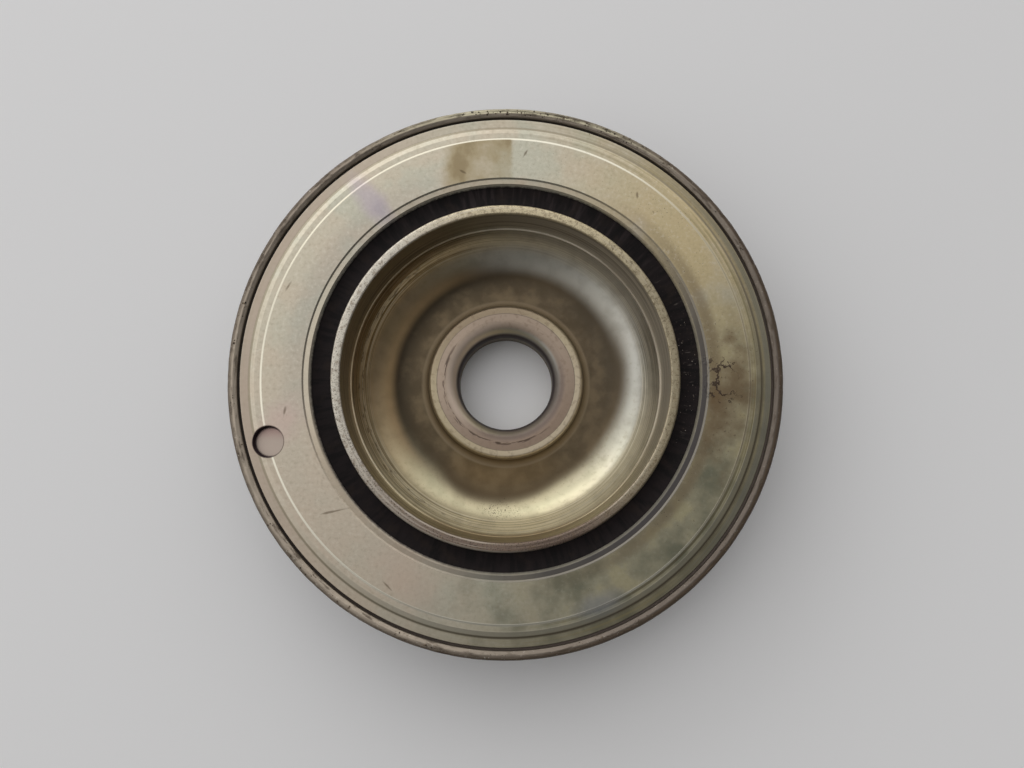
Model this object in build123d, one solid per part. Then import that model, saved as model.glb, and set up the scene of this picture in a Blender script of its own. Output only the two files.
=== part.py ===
"""Crankshaft harmonic balancer: a hub, a ring of rubber and a belt-driving inertia ring.

The balancer lies on the seat of its hub, with the crankshaft's axis on Z and its front face up.
The origin is the centre of that seat. Each piece is a turned section spun about Z, and the three
meet face to face along the swollen gap that holds the rubber. Sizes are in millimetres.
"""
from build123d import *
from math import cos, radians, sin, sqrt, tan
import os

os.makedirs("parts", exist_ok=True)

# Hub: bore, and the two faces that are clamped round it
bore_dia = 29.0
bore_lead = 0.8            # chamfer where the crankshaft's nose enters
seat_width = 8.5           # bore to the edge of the face that sits on the crankshaft
seat_height = 2.0          # seat to the back of the web
seat_foot_chamfer = 1.0
entry_radius = 4.5         # rounding from the bore up to the bolt's face
bolt_face_width = 4.3      # that rounding to the edge of the boss
boss_height = 6.0          # flat of the bowl to the bolt's face
boss_draft = 12.0          # degrees, on the side of the boss
boss_chamfer = 0.5
boss_foot_radius = 1.5

# Hub: web, bowl and cup
web_wall = 5.0             # even thickness of the web under the bowl
bowl_flat_width = 7.2      # foot of the boss to where the bowl starts to rise
cup_depth = 12.5           # front face down to the end of the turned wall
cup_draft = 4.0            # degrees, on the turned wall
cup_ledge = 0.5            # width of the ledge where the turned wall ends
rim_dia = 100.8            # outside of the hub, where the rubber sits
rim_wall = 2.8             # thickness of the cup's lip at its end face
rim_setback = 0.4          # lip below the front face of the ring
rim_chamfer = 0.3
skirt_wall = 4.2           # thickness of the hub's skirt, behind the web
skirt_height = 3.0         # seat to the back edge of the skirt
skirt_root_flat = 2.5      # flat bottom of the groove between web and skirt

# Rubber, and the swollen gap that locks it in place
rubber_wall = 5.5          # hub to inertia ring
rubber_recess = 0.4        # rubber below the straight edges of the gap
bead_height = 0.9          # how far the gap swells outwards at mid width
bead_crest = 5.0           # flat top of that swelling
bead_slope = 12.0          # degrees, on its two sides

# Inertia ring: belt track
flange_dia = 160.0
flange_wall = 2.24         # thickness of a belt flange at its edge
flange_height = 4.0        # flange above the tops of the ribs
groove_count = 6
groove_pitch = 3.56
groove_angle = 40.0        # degrees between the flanks
groove_depth = 3.0
rib_land = 0.75            # flat top of a rib
seat_proud = 2.0           # hub's seat behind the back of the ring
back_chamfer = 0.8

# Inertia ring: front face, from the rubber outwards
mouth_chamfer = 0.7
recess_width = 2.3         # shallow counterbore round the rubber
recess_depth = 0.5
face_inset = 9.7           # edge of the flange to the edge of the wide flat face
shoulder_drop = 0.25       # first step down, outside that edge
shoulder_width = 1.7
slope_drop = 0.6           # second step down, a slope
slope_width = 1.3
lip_width = 3.3            # edge of the flange to the narrow groove that sets off its lip
lip_height = 0.3           # lip above the band inside that groove
lip_groove_depth = 1.1
lip_groove_floor = 0.7
lip_groove_flare = 0.35
lip_chamfer = 0.6

# Blind hole in the front face
hole_dia = 9.0
hole_depth = 3.0
hole_inset = 9.8           # edge of the flange to the middle of the hole
hole_angle = 195.8         # degrees, counter-clockwise from +X seen from the front

# Worked out from the above: the belt track sets the width, and heights stack up from the seat
flange_radius = flange_dia / 2
rib_radius = flange_radius - flange_height
root_radius = rib_radius - groove_depth
flank = tan(radians(groove_angle / 2))
root_half = (groove_pitch - rib_land) / 2 - groove_depth * flank
flank_reach = root_half + (flange_radius - root_radius) * flank
track_half = (groove_count - 1) / 2 * groove_pitch + flank_reach
ring_back = seat_proud
ring_middle = ring_back + flange_wall + track_half
front = ring_middle + track_half + flange_wall
bore_radius = bore_dia / 2
rim_radius = rim_dia / 2
gap_radius = rim_radius + rubber_wall
web_back = seat_height
bowl_floor = web_back + web_wall
bolt_face = bowl_floor + boss_height
rim_top = front - rim_setback
recess_floor = front - recess_depth
mouth_edge = recess_floor - mouth_chamfer


def corner(section, spot):
    """Find the corner of a section that lies nearest to a spot."""
    return section.vertices().sort_by_distance(spot)[0]


def gap_side(radius, low, high):
    """Draw one side of the rubber's gap: a straight, the locking bead, a straight."""
    crest = radius + bead_height
    foot = bead_crest / 2 + bead_height / tan(radians(bead_slope))
    Polyline((radius, low), (radius, ring_middle - foot), (crest, ring_middle - bead_crest / 2),
             (crest, ring_middle + bead_crest / 2), (radius, ring_middle + foot), (radius, high))


def make_hub():
    """Cup-shaped hub: boss and bore in the middle, an even web, and a lip round the rubber."""
    entry = (bore_radius + entry_radius, bolt_face)
    boss_top = (entry[0] + bolt_face_width, bolt_face)
    boss_foot = (boss_top[0] + boss_height * tan(radians(boss_draft)), bowl_floor)
    seat_edge = (bore_radius + seat_width, web_back)
    flat = boss_foot[0] + bowl_flat_width
    cup_end = front - cup_depth
    lip_inside = (rim_radius - rim_wall, rim_top)
    wall_foot = (lip_inside[0] - (rim_top - cup_end) * tan(radians(cup_draft)), cup_end)
    mouth = (wall_foot[0] - cup_ledge, cup_end)
    lip_outside = (rim_radius, rim_top)

    rise = cup_end - bowl_floor
    bowl_radius = ((mouth[0] - flat) ** 2 + rise ** 2) / (2 * rise)
    skirt = rim_radius - skirt_wall
    under_radius = bowl_radius + web_wall
    under_edge = skirt - skirt_root_flat
    under_height = bowl_floor + bowl_radius - sqrt(under_radius ** 2 - (under_edge - flat) ** 2)
    skirt_root = (skirt, under_height)
    skirt_inside = (skirt, skirt_height)
    skirt_outside = (rim_radius, skirt_height)

    with BuildPart() as hub:
        with BuildSketch(Plane.XZ) as section:
            with BuildLine():
                Polyline((bore_radius, bore_lead), (bore_radius + bore_lead, 0),
                         (seat_edge[0], 0), seat_edge, (flat, web_back))
                TangentArc((flat, web_back), (under_edge, under_height), tangent=(1, 0))
                Polyline((under_edge, under_height), skirt_root, skirt_inside, skirt_outside)
                gap_side(rim_radius, skirt_height, rim_top)
                Polyline(lip_outside, lip_inside, wall_foot, mouth)
                TangentArc((flat, bowl_floor), mouth, tangent=(1, 0))
                Polyline((flat, bowl_floor), boss_foot, boss_top, entry)
                RadiusArc(entry, (bore_radius, bolt_face - entry_radius), -entry_radius)
                Line((bore_radius, bolt_face - entry_radius), (bore_radius, bore_lead))
            make_face()
            fillet(corner(section, boss_foot), boss_foot_radius)
            chamfer(corner(section, seat_edge), seat_foot_chamfer)
            chamfer(corner(section, boss_top), boss_chamfer)
            for edge in (lip_outside, lip_inside):
                chamfer(corner(section, edge), rim_chamfer)
        revolve(axis=Axis.Z)
    return hub.part


def make_rubber_ring():
    """Rubber squeezed into the gap, a little short of its straight edges."""
    low = skirt_height + rubber_recess
    high = mouth_edge - rubber_recess
    with BuildPart() as rubber:
        with BuildSketch(Plane.XZ):
            with BuildLine():
                gap_side(rim_radius, low, high)
                Line((rim_radius, high), (gap_radius, high))
                gap_side(gap_radius, low, high)
                Line((rim_radius, low), (gap_radius, low))
            make_face()
        revolve(axis=Axis.Z)
    return rubber.part


def front_steps():
    """Points across the ring's front, from the mouth of the rubber's gap to the flange's edge."""
    recess_wall = gap_radius + recess_width
    face_edge = flange_radius - face_inset
    shoulder = front - shoulder_drop
    slope_start = face_edge + shoulder_drop + shoulder_width
    band = shoulder - slope_drop
    groove = flange_radius - lip_width
    floor_half = lip_groove_floor / 2
    mouth_half = floor_half + lip_groove_flare
    return [
        (gap_radius, mouth_edge), (gap_radius + mouth_chamfer, recess_floor),
        (recess_wall, recess_floor), (recess_wall, front),
        (face_edge, front), (face_edge + shoulder_drop, shoulder),
        (slope_start, shoulder), (slope_start + slope_width, band),
        (groove - mouth_half, band), (groove - floor_half, band - lip_groove_depth),
        (groove + floor_half, band - lip_groove_depth), (groove + mouth_half, band + lip_height),
        (flange_radius, band + lip_height),
    ]


def belt_track():
    """Points down the outside of the ring: front flange, V grooves and ribs, back flange."""
    points = [(flange_radius, ring_middle + track_half)]
    for number in range(groove_count):
        centre = ring_middle + ((groove_count - 1) / 2 - number) * groove_pitch
        points += [(root_radius, centre + root_half), (root_radius, centre - root_half)]
        if number < groove_count - 1:
            rib = centre - groove_pitch / 2
            points += [(rib_radius, rib + rib_land / 2), (rib_radius, rib - rib_land / 2)]
    points.append((flange_radius, ring_middle - track_half))
    return points


def make_inertia_ring():
    """Heavy ring with the stepped front face, the ribbed belt track and one blind hole."""
    steps = front_steps()
    back_edge = (flange_radius, ring_back)
    back_mouth = (gap_radius, ring_back)
    hole_circle = flange_radius - hole_inset
    turn = radians(hole_angle)
    with BuildPart() as ring:
        with BuildSketch(Plane.XZ) as section:
            with BuildLine():
                Polyline(*steps, *belt_track(), back_edge, back_mouth)
                gap_side(gap_radius, ring_back, mouth_edge)
            make_face()
            chamfer(corner(section, steps[-1]), lip_chamfer)
            chamfer(corner(section, back_edge), back_chamfer)
        revolve(axis=Axis.Z)
        with Locations((hole_circle * cos(turn), hole_circle * sin(turn), front)):
            Hole(hole_dia / 2, hole_depth)
    return ring.part


pieces = {
    "hub": make_hub(),
    "rubber_ring": make_rubber_ring(),
    "inertia_ring": make_inertia_ring(),
}
for name, piece in pieces.items():
    export_step(piece, f"parts/{name}.step")
    print(f"{name}: {piece.volume / 1000:.1f} cm3, {len(piece.faces())} faces")
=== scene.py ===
# %% [markdown]
# # A used harmonic balancer
#
# The front end of a car engine's crankshaft carries this pulley. A turned steel hub bolts to the
# shaft, a squeezed ring of rubber grips the hub, and a heavy iron ring that drives the belt hangs
# in that rubber and soaks up the shaft's twisting shake. All three are turned, so one Geometry
# Nodes tree spins every section. The marks of a hard life come on top: knocks on the belt flange,
# grime, stained plating and scuffed rubber.
# Some light and shade is painted into the metal's colours too: highlights on the step and in the bowl,
# shadows in the bowl, groove, hole and bore.

# %% Load the frame
from math import atan2, cos, degrees, pi, radians, sin

import bmesh
import bpy
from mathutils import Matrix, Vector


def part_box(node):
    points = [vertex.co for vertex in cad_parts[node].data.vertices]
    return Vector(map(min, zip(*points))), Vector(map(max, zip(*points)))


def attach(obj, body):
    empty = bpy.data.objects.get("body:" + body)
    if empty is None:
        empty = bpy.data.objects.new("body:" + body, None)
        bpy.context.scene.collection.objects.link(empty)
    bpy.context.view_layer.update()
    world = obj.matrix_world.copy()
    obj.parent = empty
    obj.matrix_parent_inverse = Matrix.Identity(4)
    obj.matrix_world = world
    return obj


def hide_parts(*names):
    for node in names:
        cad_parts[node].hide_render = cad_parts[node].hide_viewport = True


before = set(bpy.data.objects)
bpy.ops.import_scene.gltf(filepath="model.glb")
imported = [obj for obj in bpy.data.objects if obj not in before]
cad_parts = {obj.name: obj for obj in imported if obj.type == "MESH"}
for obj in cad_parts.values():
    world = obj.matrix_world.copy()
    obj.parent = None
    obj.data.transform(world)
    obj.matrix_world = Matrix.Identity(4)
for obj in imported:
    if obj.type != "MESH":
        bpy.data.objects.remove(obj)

scene = bpy.context.scene
mm = 0.001
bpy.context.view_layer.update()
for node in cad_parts:
    low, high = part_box(node)
    print(node, [round(v / mm, 2) for v in low], "to", [round(v / mm, 2) for v in high], "mm")

# %% [markdown]
# ## Camera
#
# The camera comes before any detail, because it decides what has to hold up close. It stands a
# quarter of a metre above the balancer and a little to the near side, as when leaning over a
# bench, so the cup's far wall is foreshortened and its near wall opens up. The lens is as wide as
# a phone's, and the tilt is small enough for the outline to stay nearly round.

# %% Place the camera
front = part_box("inertia_ring")[1].z
camera_height = 251.0 * mm          # above the ring's front face
camera_near = 30.6 * mm             # to the near side of the axis
camera_right = 1.9 * mm
camera_tilt = radians(6.35)
camera_lens, camera_sensor = 31.03, 36.0


def stand(name, data):
    """An object for some data, in the scene."""
    made = bpy.data.objects.new(name, data)
    scene.collection.objects.link(made)
    return made


camera = stand("camera", bpy.data.cameras.new("camera"))
camera.location = (camera_right, -camera_near, front + camera_height)
camera.rotation_euler = (camera_tilt, 0, 0)
camera.data.lens = camera_lens
camera.data.sensor_width = camera_sensor
camera.data.clip_start = 1 * mm
scene.camera = camera
print("camera", round(camera_height / mm), "mm above the face, tilted", round(degrees(camera_tilt), 2))

# %% [markdown]
# ## Node trees written as sums
#
# Finishes here are mostly arithmetic: how far from the axis, how high, which way round. Hundreds
# of Math nodes on a screen hide that, so a small class wraps a socket and overloads the
# arithmetic signs: adding two values adds a Math node. Every other node comes from one method,
# and the same two classes serve materials and Geometry Nodes.

# %% Value and Graph
class Value:
    """What comes out of a socket. Arithmetic on it adds Math nodes."""

    def __init__(self, graph, socket):
        self.graph = graph
        self.socket = socket

    def math(self, operation, *others):
        return self.graph.math(operation, self, *others)

    def __add__(self, other):
        return self.math("ADD", other)

    def __sub__(self, other):
        return self.math("SUBTRACT", other)

    def __rsub__(self, other):
        return self.graph.math("SUBTRACT", other, self)

    def __mul__(self, other):
        return self.math("MULTIPLY", other)

    def __truediv__(self, other):
        return self.math("DIVIDE", other)

    def __rtruediv__(self, other):
        return self.graph.math("DIVIDE", other, self)

    def __pow__(self, other):
        return self.math("POWER", other)

    def __abs__(self):
        return self.math("ABSOLUTE")

    __radd__ = __add__
    __rmul__ = __mul__

    def at_most(self, other):
        return self.math("MINIMUM", other)

    def smooth(self, start, end):
        """Eases from 0 at start to 1 at end, whichever is larger."""
        return self.graph.node("ShaderNodeMapRange", {"interpolation_type": "SMOOTHSTEP"},
                               {"Value": self, "From Min": start, "From Max": end})

    def beside(self, name):
        """Another output of the node that this value comes from."""
        return Value(self.graph, self.socket.node.outputs[name])


class Graph:
    """A node tree that is written rather than drawn."""

    def __init__(self, tree):
        self.tree = tree

    def node(self, kind, settings=None, inputs=None, out=None):
        """Adds a node: its settings first, then its sockets by name or number. Gives one output."""
        made = self.tree.nodes.new(kind)
        for name, setting in (settings or {}).items():
            setattr(made, name, setting)
        for name, given in (inputs or {}).items():
            if isinstance(name, int):
                socket = made.inputs[name]
            else:
                socket = next(s for s in made.inputs if s.name == name and s.enabled)
            if isinstance(given, Value):
                self.tree.links.new(given.socket, socket)
            else:
                socket.default_value = given
        shown = [s for s in made.outputs if s.enabled and (out is None or s.name == out)]
        return Value(self, shown[0]) if shown else None

    def math(self, operation, *terms):
        return self.node("ShaderNodeMath", {"operation": operation}, dict(enumerate(terms)))

    def point(self, x, y, z):
        return self.node("ShaderNodeCombineXYZ", inputs={"X": x, "Y": y, "Z": z})

    def parts(self, vector):
        """The three numbers of a vector."""
        x = self.node("ShaderNodeSeparateXYZ", inputs={"Vector": vector}, out="X")
        return x, x.beside("Y"), x.beside("Z")

    def scaled(self, vector, factor):
        return self.node("ShaderNodeVectorMath", {"operation": "SCALE"}, {"Vector": vector, "Scale": factor})

    def noise(self, where, scale=1.0, detail=2.0, roughness=0.5):
        """Noise about 0.5, at a vector or at three numbers."""
        if isinstance(where, tuple):
            where = self.point(*where)
        return self.node("ShaderNodeTexNoise", inputs={
            "Vector": where, "Scale": scale, "Detail": detail, "Roughness": roughness})


print("+ - * / ** and abs add Math nodes")

# %% [markdown]
# ## Light
#
# Bare metal shows its surroundings, so the light is most of its look. The balancer lies in a soft
# white tent, bright on one side and dim on the other, as in a room with a wide window. The tent
# is a few nodes on the world: its brightness grows with how far a direction leans towards the
# window. It makes the flat face bright on the left and dark on the right, and lays the broad glow
# on the near and right sides of the bowl. One low panel adds the shadow that a tent alone would
# lose. Area lights all round could do the same, with more noise.

# %% The tent and the window
window_side = 124.0                 # degrees round from the right
dim_cloth, bright_cloth = 0.12, 1.03
fade = 0.45                         # how far a direction leans before the cloth stops changing
window_away, window_up, window_power = 0.85, 0.42, 1.2

room = bpy.data.worlds.new("room")
room.use_nodes = True
tent = Graph(room.node_tree)
direction = tent.node("ShaderNodeTexCoord", out="Generated")
window_x, window_y = cos(radians(window_side)), sin(radians(window_side))
looking_x, looking_y, _ = tent.parts(direction)
lean = looking_x * window_x + looking_y * window_y
glow = lean.smooth(-fade, fade) * (bright_cloth - dim_cloth) + dim_cloth
cloth = tent.node("ShaderNodeBackground", inputs={"Color": (1.0, 0.99, 0.97, 1), "Strength": glow})
tent.tree.links.new(cloth.socket, tent.tree.nodes["World Output"].inputs["Surface"])
scene.world = room
scene.view_settings.view_transform = "Standard"

lamp = bpy.data.lights.new("window", "AREA")
lamp.shape = "RECTANGLE"
lamp.size, lamp.size_y = 0.8, 0.4
lamp.energy = window_power
window = stand("window", lamp)
window.location = (window_away * window_x, window_away * window_y, window_up)
window.rotation_euler = (-window.location).to_track_quat("-Z", "Y").to_euler()
print("tent from", dim_cloth, "to", bright_cloth, "with its window at", window_side)

# %% [markdown]
# ## Turning a section
#
# A lathe makes a shape from one outline, and so does this tree. The outline is a small mesh of
# straight edges, one point for each corner, with two numbers stored at each: how far the corner
# is rounded, and how worn it is. Fillet Curve rounds the corners, Curve to Mesh spins the
# outline round a circle, and Set Position knocks the worn stretches in along their own normals.
# A Screw modifier could spin the outline too, but it couldn't round or wear it corner by corner.
# Every tree here ends in Realize Instances and Set Material, so its result is one real mesh.

# %% A tree's two ends
def start_tree(name, source, sizes):
    """A tree with named inputs: the geometry it works on, its sizes, and last the finish."""
    tree = bpy.data.node_groups.new(name, "GeometryNodeTree")
    tree.interface.new_socket("Geometry", in_out="OUTPUT", socket_type="NodeSocketGeometry")
    for label, kind in ((source, "Geometry"), *sizes, ("Finish", "Material")):
        tree.interface.new_socket(label, in_out="INPUT", socket_type="NodeSocket" + kind)
    g = Graph(tree)
    return g, g.node("NodeGroupInput", out=source)


def end_tree(g, geometry, given):
    """Makes instances real, gives everything its finish, and hands it out."""
    real = g.node("GeometryNodeRealizeInstances", inputs={"Geometry": geometry})
    finish = given.beside("Finish")
    finished = g.node("GeometryNodeSetMaterial", inputs={"Geometry": real, "Material": finish})
    g.node("NodeGroupOutput", inputs={"Geometry": finished})
    print(g.tree.name, "has", len(g.tree.nodes), "nodes")
    return g.tree


print("a tree's two ends are ready")

# %% The turned-piece tree
def turned_piece_tree():
    """Section mesh in, finished turned piece out."""
    g, given = start_tree("turned_piece", "Section", (
        ("Spine radius", "Float"), ("Facets", "Int"), ("Corner steps", "Int"),
        ("Wear depth", "Float"), ("Wear size", "Float"), ("Seed", "Float")))
    outline = g.node("GeometryNodeMeshToCurve", inputs={"Mesh": given})
    rounding = g.node("GeometryNodeInputNamedAttribute", {"data_type": "FLOAT"}, {"Name": "rounding"})
    outline = g.node("GeometryNodeFilletCurve", {"mode": "POLY"}, {
        "Curve": outline, "Count": given.beside("Corner steps"), "Radius": rounding})
    spine = g.node("GeometryNodeCurvePrimitiveCircle", inputs={
        "Resolution": given.beside("Facets"), "Radius": given.beside("Spine radius")})
    body = g.node("GeometryNodeCurveToMesh", inputs={"Curve": spine, "Profile Curve": outline})

    shifted = g.node("ShaderNodeVectorMath", {"operation": "ADD"},
                     {0: g.node("GeometryNodeInputPosition"), 1: g.point(given.beside("Seed"), 0.0, 0.0)})
    broad = g.noise(shifted, 1 / given.beside("Wear size"), 3.0).smooth(0.42, 0.80)
    small = g.noise(shifted, 3.7 / given.beside("Wear size"), 2.0).smooth(0.52, 0.78)
    wear = g.node("GeometryNodeInputNamedAttribute", {"data_type": "FLOAT"}, {"Name": "wear"})
    depth = (broad + small * 0.6) * wear * given.beside("Wear depth")
    inward = g.scaled(g.node("GeometryNodeInputNormal", out="Normal"), depth * -1.0)
    body = g.node("GeometryNodeSetPosition", inputs={"Geometry": body, "Offset": inward})

    body = g.node("GeometryNodeSetShadeSmooth", {"domain": "FACE"}, {"Geometry": body, "Shade Smooth": True})
    return end_tree(g, body, given)


turning = turned_piece_tree()

# %% [markdown]
# ## From outline to mesh
#
# The outline goes once round the section: along the front from the inside out, down the outside,
# back along the rear and up the inside, so every face points outwards. A modifier's input is set
# by its socket's identifier, and the evaluated result is copied to a plain mesh, so no modifier
# is left on the piece. Smooth shading would smear light round the crisp edges of turned work, so
# steep edges are marked sharp and large flats keep their own normals.

# %% Corners and arcs
def corner(radius, height, rounding=0.0, wear=0.0):
    """One corner of a section, in millimetres."""
    return (radius, height, rounding, wear)


def arc(centre, radius, start, end, steps):
    """Corners along an arc of a section, from one angle to another, in degrees."""
    turns = [radians(start + (end - start) * n / steps) for n in range(steps + 1)]
    return [corner(centre[0] + radius * cos(t), centre[1] + radius * sin(t)) for t in turns]


def straight(start, end, steps):
    """Corners spread evenly between two, so that wear has something to move."""
    return [tuple(a + (b - a) * n / steps for a, b in zip(start, end)) for n in range(1, steps)]


print("a quarter arc in 2 steps:", [(round(c[0], 2), round(c[1], 2)) for c in arc((0, 0), 1, 0, 90, 2)])

# %% The lathe
facets, corner_steps = 600, 3       # round the axis, and round each rounded corner
sharp_angle = radians(32)


def set_inputs(modifier, values):
    """Sets a modifier's inputs by the identifiers of its sockets."""
    sockets = {s.name: s.identifier for s in modifier.node_group.interface.items_tree if s.in_out == "INPUT"}
    for name, value in values.items():
        modifier[sockets[name]] = value


def plain_copy(name, source):
    """Swaps an object for a plain mesh of what its modifiers make."""
    evaluated = source.evaluated_get(bpy.context.evaluated_depsgraph_get())
    mesh = bpy.data.meshes.new_from_object(evaluated)
    bpy.data.objects.remove(source)
    mesh.name = name
    return stand(name, mesh)


def turn(name, corners, finish, wear_depth=0.0, wear_size=4.0, seed=0.0, cutter=None):
    """Spins a section into a piece, with the wear its corners ask for, and cuts it if told to."""
    spine = sum(c[0] for c in corners) / len(corners) * mm
    section = bpy.data.meshes.new(name + "_section")
    section.from_pydata([(c[0] * mm - spine, -c[1] * mm, 0) for c in corners],
                        [(n, (n + 1) % len(corners)) for n in range(len(corners))], [])
    for field, place, unit in (("rounding", 2, mm), ("wear", 3, 1)):
        slots = section.attributes.new(field, "FLOAT", "POINT").data
        for slot, point in zip(slots, corners):
            slot.value = point[place] * unit
    blank = stand(name + "_blank", section)
    lathe = blank.modifiers.new("lathe", "NODES")
    lathe.node_group = turning
    set_inputs(lathe, {"Spine radius": spine, "Facets": facets, "Corner steps": corner_steps,
                       "Wear depth": wear_depth * mm, "Wear size": wear_size * mm,
                       "Seed": seed, "Finish": finish})
    if cutter:
        drill = blank.modifiers.new("drill", "BOOLEAN")
        drill.operation = "DIFFERENCE"
        drill.solver = "MANIFOLD"
        drill.object = cutter
    piece = plain_copy(name, blank)
    piece.data.set_sharp_from_angle(angle=sharp_angle)
    true_flats = piece.modifiers.new("true_flats", "WEIGHTED_NORMAL")
    true_flats.keep_sharp = True
    piece = plain_copy(name, piece)
    form = bmesh.new()
    form.from_mesh(piece.data)
    volume = form.calc_volume(signed=True) / (10 * mm) ** 3
    open_edges = sum(not e.is_manifold for e in form.edges)
    form.free()
    tris = sum(len(p.vertices) - 2 for p in piece.data.polygons)
    print(name, tris, "triangles,", round(volume, 1), "cm3,", open_edges, "open edges")
    return piece


print("the lathe turns", facets, "facets")

# %% [markdown]
# ## Finishes in the lathe's own terms
#
# Everything on a turned piece follows the turning: tool marks run round it, dirt sits in its
# corners, plating wears on its edges. So each finish first works out, from the piece's own
# coordinates in millimetres, how far a point is from the axis and which way round it is. It is
# then laid in coats, like paint: where a coat's mask is 1, it covers what was there before. Only
# colour, metal, roughness and height vary over the surface. A long finish starts by giving its
# own methods and coordinates short names, so that its coats read easily.

# %% Finish
def shade(red, green, blue):
    """A paint chart's colour, 0 to 255, turned into the light it reflects."""
    return tuple(((c / 255 + 0.055) / 1.055) ** 2.4 for c in (red, green, blue)) + (1,)


class Finish(Graph):
    """A material laid in coats, with the piece's coordinates at hand in millimetres."""

    def __init__(self, name, colour, metal, roughness):
        self.material = bpy.data.materials.new(name)
        self.material.use_nodes = True
        super().__init__(self.material.node_tree)
        self.tree.nodes.clear()
        self.colour, self.metal, self.roughness, self.height = shade(*colour), metal, roughness, 0.0
        self.place = self.scaled(self.node("ShaderNodeTexCoord", out="Object"), 1 / mm)
        self.x, self.y, self.z = self.parts(self.place)
        self.radius = (self.x * self.x + self.y * self.y) ** 0.5
        self.east, self.north = self.x / self.radius, self.y / self.radius
        self.bearing = self.point(self.east, self.north, 0.0)
        self.torn = self.noise(self.place, 0.25, 4.0)

    def mix(self, kind, mask, under, over):
        """Mixes two colours, kind RGBA, or two numbers, kind FLOAT."""
        return self.node("ShaderNodeMix", {"data_type": kind}, {"Factor": mask, "A": under, "B": over})

    def band(self, low, high, soft=0.15):
        """1 between two radii."""
        return self.radius.smooth(low - soft, low + soft) * self.radius.smooth(high + soft, high - soft)

    def along_turning(self, across, along, detail, seed=0.0):
        """Noise drawn out round the axis, finer across the turning than along it."""
        depth = self.radius * across + self.z * across
        return self.noise((self.east * along + seed, self.north * along, depth), 1.0, detail)

    def side(self, angle, spread):
        """1 on the side that lies at an angle, fading to 0 at spread degrees from it."""
        way = (cos(radians(angle)), sin(radians(angle)), 0.0)
        toward = self.node("ShaderNodeVectorMath", {"operation": "DOT_PRODUCT"}, {0: self.bearing, 1: way})
        return toward.smooth(cos(radians(spread)), 1.0)

    def spot(self, x, y, long, short, turn, ragged, soft):
        """1 in a ragged oval at a place, its long way turned by an angle in degrees."""
        any_height = 1e6
        away = self.node("ShaderNodeMapping", {"vector_type": "TEXTURE"}, {
            "Vector": self.place, "Location": (x, y, 0.0), "Rotation": (0.0, 0.0, radians(turn)),
            "Scale": (long, short, any_height)})
        away = self.node("ShaderNodeVectorMath", {"operation": "LENGTH"}, {0: away})
        return (away + self.torn * (2 * ragged)).smooth(1 + ragged + soft / 2, 1 + ragged - soft / 2)

    def lay(self, mask, colour, metal=None, rough=None):
        """Lays a coat of a paint chart's colour over what is there."""
        self.colour = self.mix("RGBA", mask, self.colour, shade(*colour))
        if metal is not None:
            self.metal = self.mix("FLOAT", mask, self.metal, metal)
        if rough is not None:
            self.roughness = self.mix("FLOAT", mask, self.roughness, rough)

    def raise_by(self, height):
        """Adds a height in millimetres, for the bump."""
        self.height = self.height + height

    def tell(self, what):
        print(self.material.name, "with its", what, "has", len(self.tree.nodes), "nodes")

    def done(self, specular=0.5):
        """Joins the coats to the shader and gives the material."""
        sockets = {"Base Color": self.colour, "Metallic": self.metal, "Roughness": self.roughness,
                   "Specular IOR Level": specular}
        if isinstance(self.height, Value):
            sockets["Normal"] = self.node("ShaderNodeBump", inputs={
                "Strength": 1.0, "Distance": mm, "Height": self.height})
        shader = self.node("ShaderNodeBsdfPrincipled", inputs=sockets)
        self.node("ShaderNodeOutputMaterial", inputs={"Surface": shader})
        self.tell("shader")
        return self.material


print("middle grey reflects", round(shade(128, 128, 128)[0], 2), "of the light")

# %% [markdown]
# ## The floor
#
# A plain pale sheet. It isn't part of the balancer, so it stays as simple as it can be.

# %% Floor
floor_size = 12.0
floor_drop = 0.02 * mm              # so that it doesn't share a plane with the seat

board = Finish("painted_board", (243, 243, 245), 0.0, 0.75)
half = floor_size / 2
corners = ((-half, -half), (half, -half), (half, half), (-half, half))
floor_mesh = bpy.data.meshes.new("floor")
floor_mesh.from_pydata([(x, y, -floor_drop) for x, y in corners], [], [(0, 1, 2, 3)])
floor_mesh.materials.append(board.done())
floor = stand("floor", floor_mesh)
print("floor", floor_size, "m square")

# %% [markdown]
# ## Sizes
#
# The outer sizes are read from the frame. The rest are the sizes that its pieces were drawn with,
# in millimetres. The finishes need some of them too, so they come first.

# %% Ring sizes
ring_front = front / mm
ring_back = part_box("inertia_ring")[0].z / mm
flange_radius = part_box("inertia_ring")[1].x / mm
ring_middle = (ring_front + ring_back) / 2
gap_inner, gap_outer = 50.4, 55.9   # the rubber's two sides
bead_height = 0.9                   # the swelling halfway down, and its two half lengths
bead_half, bead_foot = 2.5, 6.73
groove_count, groove_pitch = 6, 3.56
root_radius, root_half = flange_radius - 7.0, 0.313
rib_radius, rib_half = flange_radius - 4.0, 0.375
track_half = 11.76
hole_x, hole_y, hole_radius, hole_floor = -67.55, -19.11, 4.5, ring_front - 3.0
print("front at", round(ring_front, 2), "mm, flange radius", round(flange_radius, 2), "mm")
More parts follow.
